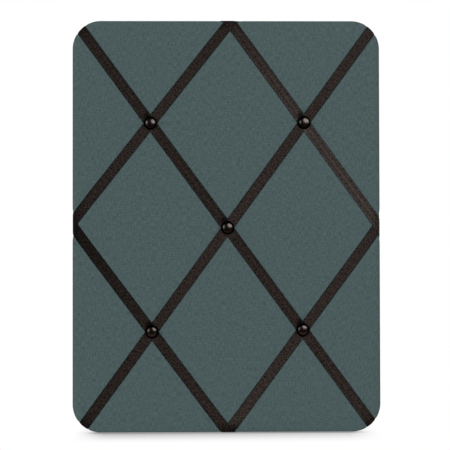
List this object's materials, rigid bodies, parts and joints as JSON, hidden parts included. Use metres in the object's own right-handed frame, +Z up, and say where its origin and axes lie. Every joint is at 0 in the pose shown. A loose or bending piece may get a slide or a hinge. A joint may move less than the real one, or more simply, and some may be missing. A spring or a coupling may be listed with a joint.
{
  "type": "ribbon memo board",
  "caption": "Upright padded memo board with rounded corners, woven fabric cover, crossed ribbons under domed tacks to tuck photos and notes, and swinging D-ring hangers on the lined back.",
  "frame": {"origin": "middle of the back lining's outer face, where the board lies against the wall", "axes": "+Z up, front towards -Y, back towards +Y, +X to the right seen from the front"},
  "size_m": [0.3726, 0.0294, 0.4976],
  "materials": {
    "cover_fabric": "fine slubby weave, slate blue-green, matt",
    "ribbon": "grosgrain ribbon, dark brown, slight sheen",
    "tack_bronze": "polished near-black bronze lacquer",
    "batting": "needled polyester wadding, white",
    "cork": "fine agglomerated cork, unfinished",
    "fibreboard": "plain medium-density fibreboard",
    "lining_felt": "stiff pressed felt, charcoal",
    "staple_steel": "galvanised staple wire",
    "hanger_steel": "nickel-plated steel"
  },
  "bodies": {
    "board": {"core_board": "fibreboard", "cork_sheet": "cork", "batting_pad": "batting", "fabric_cover": "cover_fabric", "back_lining": "lining_felt", "ribbon_rising_long": "ribbon", "ribbon_rising_upper_left": "ribbon", "ribbon_rising_lower_right": "ribbon", "ribbon_falling_long": "ribbon", "ribbon_falling_upper_right": "ribbon", "ribbon_falling_lower_left": "ribbon", "tack_upper_left": "tack_bronze", "tack_upper_right": "tack_bronze", "tack_middle": "tack_bronze", "tack_lower_left": "tack_bronze", "tack_lower_right": "tack_bronze", "ribbon_rising_long_staple_upper": "staple_steel", "ribbon_rising_long_staple_lower": "staple_steel", "ribbon_rising_upper_left_staple_upper": "staple_steel", "ribbon_rising_upper_left_staple_lower": "staple_steel", "ribbon_rising_lower_right_staple_upper": "staple_steel", "ribbon_rising_lower_right_staple_lower": "staple_steel", "ribbon_falling_long_staple_upper": "staple_steel", "ribbon_falling_long_staple_lower": "staple_steel", "ribbon_falling_upper_right_staple_upper": "staple_steel", "ribbon_falling_upper_right_staple_lower": "staple_steel", "ribbon_falling_lower_left_staple_upper": "staple_steel", "ribbon_falling_lower_left_staple_lower": "staple_steel", "hem_staple_top_right": "staple_steel", "hem_staple_right_top": "staple_steel", "hem_staple_top_left": "staple_steel", "hem_staple_left_top": "staple_steel", "hem_staple_bottom_right": "staple_steel", "hem_staple_right_bottom": "staple_steel", "hem_staple_bottom_left": "staple_steel", "hem_staple_left_bottom": "staple_steel", "hanger_strap_right": "hanger_steel", "hanger_screw_right": "hanger_steel", "hanger_strap_left": "hanger_steel", "hanger_screw_left": "hanger_steel"},
    "ring_right": {"hanger_ring_right": "hanger_steel"},
    "ring_left": {"hanger_ring_left": "hanger_steel"}
  },
  "joints": [
    {"name": "ring_swing_right", "type": "hinge", "parent": "board", "child": "ring_right", "pos_m": [0.1, 0.0024, 0.1775], "axis": [1, 0, 0], "range_deg": [0, 180]},
    {"name": "ring_swing_left", "type": "hinge", "parent": "board", "child": "ring_left", "pos_m": [-0.1, 0.0024, 0.1775], "axis": [1, 0, 0], "range_deg": [0, 180]}
  ]
}
